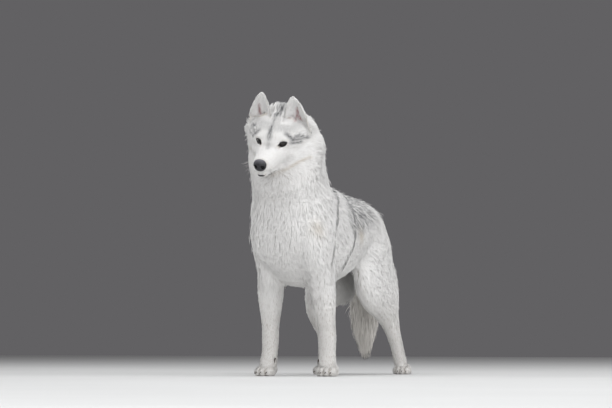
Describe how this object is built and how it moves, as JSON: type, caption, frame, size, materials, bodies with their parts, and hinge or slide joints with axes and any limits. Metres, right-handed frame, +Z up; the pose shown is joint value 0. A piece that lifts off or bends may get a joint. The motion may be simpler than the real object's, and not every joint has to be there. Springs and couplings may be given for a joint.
{
  "type": "siberian husky",
  "caption": "Standing long-coated sled dog with pricked ears, a thick neck ruff and a low hanging brush tail, posed square with one hind leg stretched back.",
  "frame": {"origin": "centre of the dog's box, on the plane its paws stand on", "axes": "+Z up, -Y the way the dog faces, +X its left side"},
  "size_m": [0.2916, 0.8536, 0.8497],
  "materials": {
    "white coat": "long white fur with a grey saddle",
    "ear coat": "short white fur",
    "nose leather": "damp, finely pebbled",
    "eye": "wet dark brown eye",
    "claw horn": "dark horn"
  },
  "bodies": {
    "root": {"claw_forepaw_left_1": "claw horn", "claw_forepaw_left_2": "claw horn", "claw_forepaw_left_3": "claw horn", "claw_forepaw_left_4": "claw horn", "claw_forepaw_right_1": "claw horn", "claw_forepaw_right_2": "claw horn", "claw_forepaw_right_3": "claw horn", "claw_forepaw_right_4": "claw horn", "claw_hindpaw_left_1": "claw horn", "claw_hindpaw_left_2": "claw horn", "claw_hindpaw_left_3": "claw horn", "claw_hindpaw_left_4": "claw horn", "claw_hindpaw_right_1": "claw horn", "claw_hindpaw_right_2": "claw horn", "claw_hindpaw_right_3": "claw horn", "claw_hindpaw_right_4": "claw horn", "ear_left": "ear coat", "ear_right": "ear coat", "eye_left": "eye", "eye_right": "eye", "foreleg_left": "white coat", "foreleg_right": "white coat", "forepaw_left": "white coat", "forepaw_right": "white coat", "head": "white coat", "hindpaw_left": "white coat", "hindpaw_right": "white coat", "hock_left": "white coat", "hock_right": "white coat", "neck": "white coat", "nose": "nose leather", "tail": "white coat", "thigh_left": "white coat", "thigh_right": "white coat", "torso": "white coat"}
  },
  "joints": []
}
